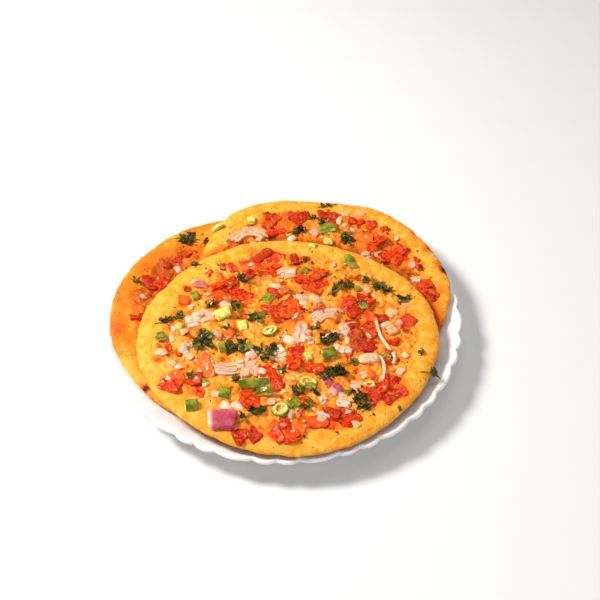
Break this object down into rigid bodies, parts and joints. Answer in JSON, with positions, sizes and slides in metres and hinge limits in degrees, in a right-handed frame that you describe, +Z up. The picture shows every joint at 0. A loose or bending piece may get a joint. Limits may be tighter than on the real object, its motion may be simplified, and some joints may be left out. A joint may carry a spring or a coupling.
{
  "type": "plate of uttapams",
  "caption": "Thick savoury batter pancakes with tomato, onion, chilli and coriander toppings, overlapping on a round white dinner plate with a scalloped edge.",
  "frame": {"origin": "centre of the plate's foot ring, on the surface that the plate stands on", "axes": "+Z up out of the plate; +X to the right and +Y to the far side, as the dish is served"},
  "size_m": [0.2538, 0.2534, 0.038],
  "materials": {
    "white_glaze": "gloss",
    "browned_batter": "oily, browned in patches",
    "tomato": "wet gloss",
    "onion": "satin",
    "green_chilli": "gloss",
    "coriander": "oily"
  },
  "bodies": {
    "root": {"chilli_front_01": "green_chilli", "chilli_front_02": "green_chilli", "chilli_front_03": "green_chilli", "chilli_front_04": "green_chilli", "chilli_front_05": "green_chilli", "chilli_front_06": "green_chilli", "chilli_front_07": "green_chilli", "chilli_right_01": "green_chilli", "chilli_ring_front_01": "green_chilli", "chilli_ring_front_02": "green_chilli", "chilli_ring_front_03": "green_chilli", "coriander_front_01": "coriander", "coriander_front_02": "coriander", "coriander_front_03": "coriander", "coriander_front_04": "coriander", "coriander_front_05": "coriander", "coriander_front_06": "coriander", "coriander_front_07": "coriander", "coriander_front_08": "coriander", "coriander_front_09": "coriander", "coriander_front_10": "coriander", "coriander_front_11": "coriander", "coriander_front_12": "coriander", "coriander_left_01": "coriander", "coriander_right_01": "coriander", "coriander_right_02": "coriander", "onion_front_01": "onion", "onion_front_02": "onion", "onion_front_03": "onion", "onion_front_04": "onion", "onion_front_05": "onion", "onion_front_06": "onion", "onion_front_07": "onion", "onion_front_08": "onion", "onion_right_01": "onion", "plate": "white_glaze", "tomato_front_01": "tomato", "tomato_front_02": "tomato", "tomato_front_03": "tomato", "tomato_front_04": "tomato", "tomato_front_05": "tomato", "tomato_front_06": "tomato", "tomato_front_07": "tomato", "tomato_front_08": "tomato", "tomato_front_09": "tomato", "tomato_front_10": "tomato", "tomato_front_11": "tomato", "tomato_front_12": "tomato", "tomato_front_13": "tomato", "tomato_front_14": "tomato", "tomato_left_01": "tomato", "tomato_right_01": "tomato", "tomato_right_02": "tomato", "tomato_right_03": "tomato", "tomato_right_04": "tomato", "uttapam_front": "browned_batter", "uttapam_left": "browned_batter", "uttapam_right": "browned_batter"}
  },
  "joints": []
}
